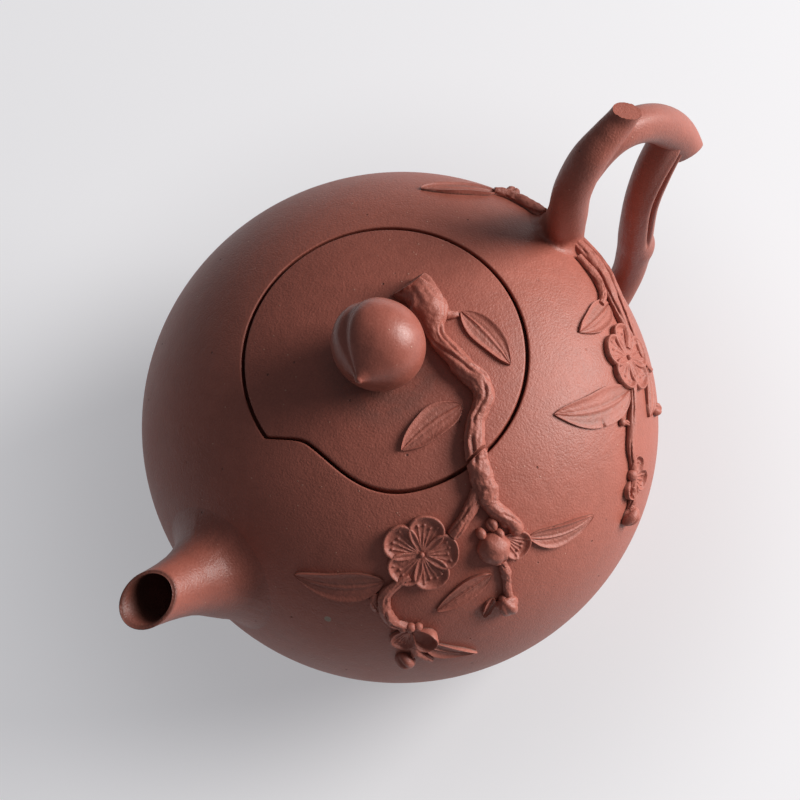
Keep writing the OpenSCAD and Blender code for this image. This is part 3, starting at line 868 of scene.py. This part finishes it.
left_fork = limb("bough_left_limb", [over_skin(*m) for m in [
    (261, 57, 1.3), (257.6, 55.2, 1.45), (253.6, 53.2, 1.4), (250, 51.4, 1.3), (247, 49.8, 1.3),
    (244.4, 48.6, 1.1)]], 48, 120, barked(0.4, 4, 0.17, 0.4), flat=0.95)
dress(left_fork, applique_clay, "pot", "ornament_clay", "bough_left_fork")
right_fork = limb("bough_right_limb", [over_skin(*m) for m in [
    (258.4, 56.8, 1.3), (258.6, 53.4, 1.6), (259.2, 50.4, 1.6), (260.6, 47.2, 1.55), (261.6, 44.2, 1.5),
    (262, 41.6, 1.1)]], 48, 120, barked(4.4, 4, 0.16, 0.6), flat=0.95)
dress(right_fork, applique_clay, "pot", "ornament_clay", "bough_right_fork")

# ---------------------------------------------------------------------------------------------
# The leaves: thin blades of clay pressed on with slip, the edge rolled up and the veins scored.

thinnest = 0.09


def pressed(name, across, along, blade, az, lat, turn=0.0):
    """A thin piece modelled flat and pressed on the skin: blade(s, t) gives x, y and height in
    millimetres. One point closes each end."""
    base, normal = skin_at(az, lat)
    a = math.radians(az)
    level = Vector((-math.sin(a), math.cos(a), 0))
    down = level.cross(normal)
    c, d = math.cos(math.radians(turn)), math.sin(math.radians(turn))
    under = 3
    lines = []
    for row in range(along + 1):
        t = row / along
        section = [blade(-1 + 2 * k / across, t) for k in range(across + 1)]
        right, left = section[-1], section[0]
        section += [(right[0], right[1], -0.5), ((right[0] + left[0]) / 2, (right[1] + left[1]) / 2, -0.6),
                    (left[0], left[1], -0.5)]
        line = []
        for x, y, h in section:
            flat_point = base + down * (x * c - y * d) * mm + level * (x * d + y * c) * mm
            line.append(on_skin(flat_point, h * mm)[0])
        lines.append(line)
    around = across + 1 + under
    for end in (0, -1):
        middle = sum(lines[end], Vector()) / around
        lines.insert(0 if end == 0 else len(lines), [middle] * around)
    rows = len(lines) - 1

    def place(u, v):
        return lines[round(v * rows)][round(u * around) % around]

    return wrapped(name, around, rows, place, 70)


def leaf(name, stalk, tip, width, body, node, bow=0.0, rise=0.0, edge=1.0, crack=0.0):
    """A leaf from its stalk to its tip, each an azimuth and a latitude."""
    a, b = skin_at(*stalk)[0], skin_at(*tip)[0]
    mid = on_skin((a + b) / 2)[0]
    az = math.degrees(math.atan2(mid.y, mid.x))
    lat = math.degrees(math.atan2(abs((mid.z - belly_h) / dome_h) ** (dome_power / 2),
                                  (math.hypot(mid.x, mid.y) / belly_r) ** (dome_power / 2)))
    normal = on_skin(mid)[1]
    level = Vector((-math.sin(math.radians(az)), math.cos(math.radians(az)), 0))
    down = level.cross(normal)
    turn = math.degrees(math.atan2((b - a).dot(level), (b - a).dot(down)))
    length = (b - a).length / mm

    def blade(s, t):
        half = width / 2 * math.sin(math.pi * t ** 0.82) ** 0.72 * (1 + 0.05 * math.sin(9 * t + s))
        half = max(half, thinnest)
        x = (t - 0.5) * length * 1.03
        y = bow * (1 - (2 * t - 1) ** 2) + s * half
        rim = max(0.0, abs(s) - 0.55) / 0.45
        height = 0.42 + 0.7 * edge * rim ** 2 * math.sin(math.pi * t) ** 0.4
        if abs(s) > 0.93:
            height *= 0.8
        height += 0.24 * math.exp(-(s / 0.075) ** 2) * (1 - 0.6 * t)
        height -= 0.12 * math.exp(-((abs(s) - 0.2) / 0.1) ** 2)
        vein = max(0.0, math.cos(2 * math.pi * (t * 6.5 - abs(s) * 0.9))) ** 8
        height += 0.1 * vein * (1 - abs(s)) * (abs(s) > 0.1)
        height += rise * max(0, t - 0.6) ** 2 * 6 + 0.25 * s * math.sin(5 * t + width)
        if crack and s > 0.5:
            height -= 0.5 * math.exp(-((t - crack) / 0.012) ** 2) * (s - 0.5) * 2
        return x, y, max(0.12, height)

    dress(pressed(name, 26, 60, blade, az, lat, turn), applique_clay, body, "ornament_clay", node)


leaf("leaf_right_on_lid", (341, 73.6), (308.4, 65.2), 5.6, "lid", "lid_leaf_right", bow=0.5)
stalk_on_lid = limb("stalk_on_lid", [over_lid(*m) for m in [
    (12.6, -2.6, 0.9), (13.4, -3.6, 1.15), (14.4, -4.6, 0.9), (15.6, -5.4, 0.6)]],
    28, 40, barked(9.1, 3, 0.15))
dress(stalk_on_lid, applique_clay, "lid", "ornament_clay")
leaf("leaf_left_on_lid", (277, 71.8), (235, 70), 6.2, "lid", "lid_leaf_left", bow=-0.6)
leaf("leaf_by_spout", (223.4, 40), (200.3, 37.2), 6.3, "pot", "leaf_towards_spout", bow=1.6, rise=0.3)
leaf("leaf_low_front", (231.4, 18), (241.8, 8.8), 3.8, "pot", "leaf_low", bow=-0.6)
leaf("leaf_right_of_calyx", (263.4, 37.9), (279.6, 27.9), 4.6, "pot", "leaf_right_of_cup", bow=-1.3)
leaf("leaf_left_of_calyx", (250.4, 35), (235.6, 29.8), 4.2, "pot", "leaf_left_of_cup", bow=-0.3)
leaf("leaf_by_bud", (248.8, 27.8), (245.4, 23.2), 2.3, "pot", "bud_leaf")
leaf("leaf_under_handle", (334.5, 32), (324.6, 46.4), 5.6, "pot", "leaf_below_handle", bow=0.5)
leaf("leaf_broad", (311.8, 30), (295.3, 52.2), 7.6, "pot", "leaf_large", bow=1.7, edge=0.8, crack=0.5)
leaf("leaf_on_belly", (320.6, 18.6), (309, 18), 4.4, "pot", "leaf_at_belly", bow=0.4)
leaf("leaf_behind", (17.4, 31), (34.8, 43.6), 5.6, "pot", "back_leaf", bow=0.6)

# ---------------------------------------------------------------------------------------------
# The blossoms: each petal a thumbed disc with its rim turned up, fluted from the middle outwards
# with a point, and a stamen's dot at the end of each flute.


def petal(name, az, lat, turn, reach, width, flutes=4, cup=0.55, start=0.04, rim=0.55):
    """One petal from the blossom's middle outwards."""
    swell = 0.56

    def blade(s, t):
        if t < swell:
            half = width / 2 * (0.1 + 0.9 * math.sin(math.pi / 2 * t / swell) ** 0.9)
            out = abs(s)
        else:
            far = (t - swell) / (1 - swell)
            half = width / 2 * max(0.0, 1 - far ** 2.3) ** 0.5
            out = math.hypot(s * (1 - far ** 2.3) ** 0.5, far ** 1.2)
        half = max(half, thinnest)
        x = reach * (start + (1 - start) * t)
        y = s * half
        height = 0.42 + cup * out ** 2 * min(1, 2.2 * t)
        height += rim * math.exp(-((out - 0.88) / 0.15) ** 2) * min(1, 1.6 * t)
        if out > 0.97:
            height -= 0.3
        if flutes:
            spread = 0.62 * width / reach
            along = x / reach
            for k in range(flutes):
                way = spread * ((k + 0.5) / flutes - 0.5) * 1.5
                off = y - x * math.tan(way)
                if 0.1 < along < 0.72:
                    fade = math.sin(math.pi * (along - 0.1) / 0.62) ** 0.4
                    height += 0.24 * math.exp(-(off / 0.17) ** 2) * fade
                dot = math.hypot(off, x - reach * (0.74 - 0.05 * (k % 2)))
                height += 0.42 * math.exp(-(dot / 0.27) ** 2)
        height += 0.07 * noise.noise(Vector((x * 1.3, y * 1.3, az)))
        return x, y, max(0.15, height)

    return pressed(name, 44, 48, blade, az, lat, turn)


bud_lean = 62


def bead(name, az, lat, radius, lift=0.4, grooves=0, turn=0.0):
    """A rolled ball of clay pressed on the skin, scored with grooves where it is a bud."""
    spot, normal = skin_at(az, lat, radius * lift * mm)
    bpy.ops.mesh.primitive_uv_sphere_add(segments=36, ring_count=20, radius=radius * mm)
    ball = bpy.context.object
    ball.name = ball.data.name = name
    upright = normal.to_track_quat("Z", "Y").to_matrix()
    lying = upright @ about("Z", turn).to_3x3() @ about("X", bud_lean).to_3x3()
    for vertex in ball.data.vertices:
        p = vertex.co.copy()
        if grooves:
            a = math.atan2(p.y, p.x)
            fold = abs(math.sin(a * grooves / 2)) ** 0.5
            level = 1 - (p.z / (radius * mm)) ** 2
            p = Vector((p.x, p.y, p.z * 1.12)) * (1 - 0.32 * (1 - fold) * level)
        p = p * (1 + 0.09 * noise.noise(p * 700) + 0.04 * noise.noise(p * 2100))
        vertex.co = spot + lying @ p
    bpy.ops.object.shade_smooth()
    bpy.ops.object.select_all(action="DESELECT")
    return ball


def gathered(name, parts, body, *nodes):
    """Pieces of one blossom or bud joined as one object."""
    bpy.ops.object.select_all(action="DESELECT")
    for part in parts:
        part.select_set(True)
    bpy.context.view_layer.objects.active = parts[0]
    bpy.ops.object.join()
    whole = bpy.context.object
    whole.name = whole.data.name = name
    bpy.ops.object.select_all(action="DESELECT")
    dress(whole, applique_clay, body, "ornament_clay", *nodes)


def blossom(name, az, lat, reach, turn, node, lengths=(1, 1, 1, 1, 1), flutes=4):
    """Five petals round a small eye."""
    parts = [petal(name, az, lat, turn + 72 * k, reach * lengths[k], reach * 0.95, flutes)
             for k in range(5)]
    parts.append(bead("eye", az, lat, 0.55, 1.1))
    gathered(name, parts, "pot", node)


blossom("blossom_on_front", 234.6, 46.1, 7.7, 14, "blossom_front", lengths=(1, 0.95, 1.02, 1.05, 0.98))
blossom("blossom_by_handle", 320.2, 29.6, 7.3, 30, "blossom_handle_side", flutes=3)
gathered("blossom_half_open", [
    petal("a", 293.4, 20.2, 20, 5.2, 4.6, 3), petal("b", 293.4, 20.6, 100, 4.6, 4.4, 2),
    petal("c", 293.4, 20.6, -60, 4.6, 4.4, 2), bead("d", 293.6, 21.4, 1.2), bead("e", 295, 20.6, 0.9)],
    "pot", "blossom_half")
gathered("blossom_low_front", [
    petal("a", 228.6, 24.6, -32, 5.2, 5.4, 5), petal("b", 229.4, 24.4, 42, 5.6, 4.8, 0, 1.0, rim=1.3),
    bead("c", 227.2, 25.8, 1.0, 0.6), bead("d", 228.9, 25.9, 1.05, 0.7), bead("e", 230.6, 25.7, 0.95, 0.6)],
    "pot", "blossom_low")
gathered("blossom_cup", [
    bead("a", 253.8, 41.4, 3.3, 0.12), petal("b", 257.4, 42.6, 28, 6.2, 6.2, 5, 0.5), petal(
        "c", 256.4, 42.6, -38, 5.4, 4.6, 3, 0.4), bead("d", 261.6, 42.6, 1.5, 0.4)],
    "pot", "blossom_cupped")
gathered("calyx_balls", [
    bead("a", 252.4, 46.2, 1.15, 0.5, grooves=2), bead("b", 256.3, 46.9, 1.25, 0.6, grooves=3),
    bead("c", 259.8, 45.6, 1.15, 0.5), bead("d", 256.6, 44, 1.2, 0.9, grooves=3)], "pot", "calyx_beads")

# ---------------------------------------------------------------------------------------------
# The twigs and buds: thin coils run down from the blossoms, with small grooved balls at their ends.


def twig(name, marks, seed=1.0):
    return limb(name, [over_skin(*m) for m in marks], 36, 90, barked(seed, 4, 0.22, 1.0, 1.3), smooth=60)


gathered("twig_under_blossom", [twig("a", [
    (230.5, 41, 0.8), (227, 39.4, 1.0), (223.9, 36.6, 1.15), (223.4, 33.4, 1.25), (224, 30.4, 1.3),
    (225.6, 27.6, 1.1), (228, 26, 0.9)]), twig("b", [
        (221.4, 36.8, 0.6), (220.8, 34.2, 0.9), (221.6, 31.6, 0.7)], 4.0)], "pot", "twig_low")
gathered("bud_by_leaf", [
    bead("a", 226.7, 12.6, 2.0, 0.3, grooves=4, turn=40), twig("b", [
        (228.6, 18.6, 0.7), (229.2, 15.6, 0.8), (231.2, 12.4, 0.8), (232.2, 10.6, 0.6)], 2.0),
    twig("c", [(228.8, 17, 0.5), (228.6, 14.4, 0.6), (228, 12.6, 0.4)], 3.0)], "pot", "bud_low")
gathered("bud_on_stalk", [
    bead("a", 251.2, 24.2, 2.35, 0.35, grooves=5, turn=200), twig("b", [
        (254.2, 37, 0.8), (253.9, 34, 1.0), (253.1, 30.6, 0.85), (252.3, 27, 0.95)], 2.4),
    bead("c", 250.8, 26.6, 0.9, 0.7), bead("d", 252.4, 26.4, 0.85, 0.7), bead("e", 249.9, 25.6, 0.6, 0.9)],
    "pot", "bud_stalk")
gathered("bark_under_handle", [twig("a", [
    (356, 31, 1.3), (350, 29.4, 1.5), (344, 28.8, 1.5), (338, 29.4, 1.3), (333, 29.6, 1.1),
    (327, 28.4, 0.9), (322.6, 29.4, 0.7)], 5.0), twig("b", [
        (357, 24.6, 1.2), (348, 24.6, 1.4), (340, 25.6, 1.3), (331, 25.4, 1.0), (325, 23.4, 0.8),
        (321.6, 20, 0.65), (321, 15, 0.6)], 6.0), twig("c", [
            (349, 33, 0.8), (342, 32, 1.0), (337, 33, 0.9), (334, 35.6, 0.7)], 7.0)],
    "pot", "handle_root_twig")
bud_on_belly = bead("bud_on_belly", 312.4, 12.6, 1.6, 0.05, grooves=4)
dress(bud_on_belly, applique_clay, "pot", "ornament_clay")
gathered("twig_down_side", [twig("a", [
    (314, 28, 0.7), (309, 28.4, 0.9), (303.8, 28, 1.0), (298.6, 26.2, 0.9), (295.6, 22.6, 0.85),
    (291.6, 18.4, 0.8)], 8.0), twig("b", [
        (303.6, 28, 0.6), (303.4, 30.2, 0.6), (302.8, 31.6, 0.65)], 9.0), bead("c", 302.8, 31.8, 0.8, 0.6)],
    "pot", "twig_hanging")
gathered("bud_at_end", [
    bead("a", 286.6, 13.6, 2.1, 0.3, grooves=4, turn=100), twig("b", [
        (292, 18.8, 0.8), (289.6, 16.4, 0.9), (287.6, 14.8, 0.8)], 1.4)], "pot", "bud_hanging")
gathered("twig_behind", [twig("a", [
    (4, 30, 1.5), (8, 29.4, 1.4), (12, 29.4, 1.3), (15, 30, 1.1), (17.6, 31.6, 0.9)], 2.8), twig("b", [
        (11, 29, 0.8), (12.6, 27.6, 0.9), (13.8, 26, 0.7)], 3.1)], "pot", "back_twig")
dress(bead("bud_behind", 14.4, 26, 1.8, 0.3, grooves=4), applique_clay, "pot", "ornament_clay", "back_bud")
